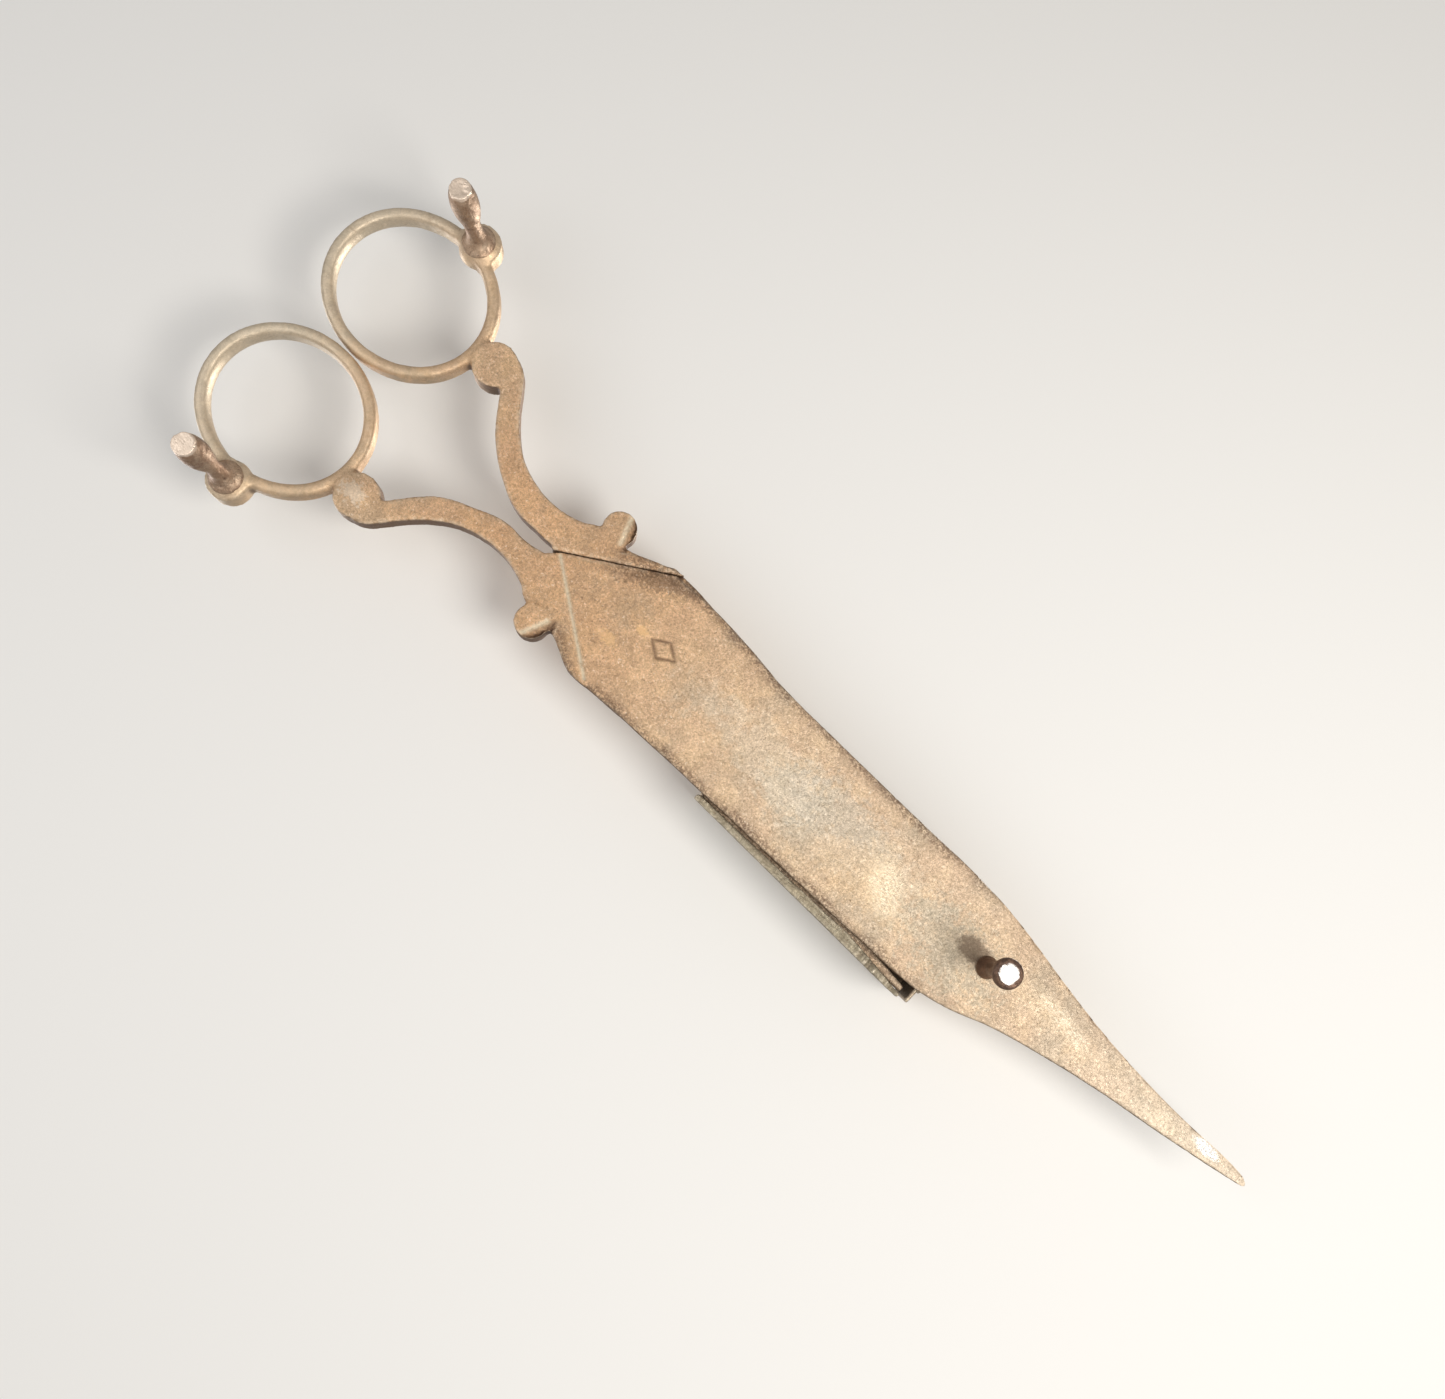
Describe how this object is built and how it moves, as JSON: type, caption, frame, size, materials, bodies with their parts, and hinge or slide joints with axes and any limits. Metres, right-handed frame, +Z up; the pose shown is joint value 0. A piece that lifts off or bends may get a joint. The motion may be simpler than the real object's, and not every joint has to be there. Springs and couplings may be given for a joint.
{
  "type": "wick trimmer",
  "caption": "Scissor-type candle snuffer: pivoting arms with oval finger rings, a long pointed pan with a snuff box, a press plate that closes it, and small feet.",
  "frame": {"origin": "middle of the closed snuffer in X and Y, on the plane that its three feet stand on", "axes": "+X towards the pointed tip, +Y towards the box arm's ring and the box's mouth, +Z up from the feet"},
  "size_m": [0.1734, 0.052, 0.0248],
  "materials": {
    "arm_iron": "forged iron with a tan patina, fine pitting and dark worn edges",
    "box_iron": "thin iron sheet, grey-green brown patina",
    "jaw_iron": "dark grey-green patinated iron with a worn light edge",
    "pivot_steel": "dark worn steel",
    "foot_iron": "rusty brown turned iron with bright worn ends",
    "tip_foot_steel": "dark stem, disc polished bright by wear"
  },
  "bodies": {
    "box_side": {"box_arm": "arm_iron", "box_wall": "box_iron", "box_roof": "box_iron", "pivot_screw": "pivot_steel", "pivot_washer": "pivot_steel", "tip_foot": "tip_foot_steel", "ring_foot_left": "foot_iron"},
    "press_side": {"press_arm": "arm_iron", "press_plate": "jaw_iron", "press_plate_rivet_front": "jaw_iron", "press_plate_rivet_rear": "jaw_iron", "ring_foot_right": "foot_iron"}
  },
  "joints": [
    {"name": "pivot", "type": "hinge", "parent": "box_side", "child": "press_side", "pos_m": [-0.01483, 0, 0.013], "axis": [0, 0, 1], "range_deg": [0, 38]}
  ]
}
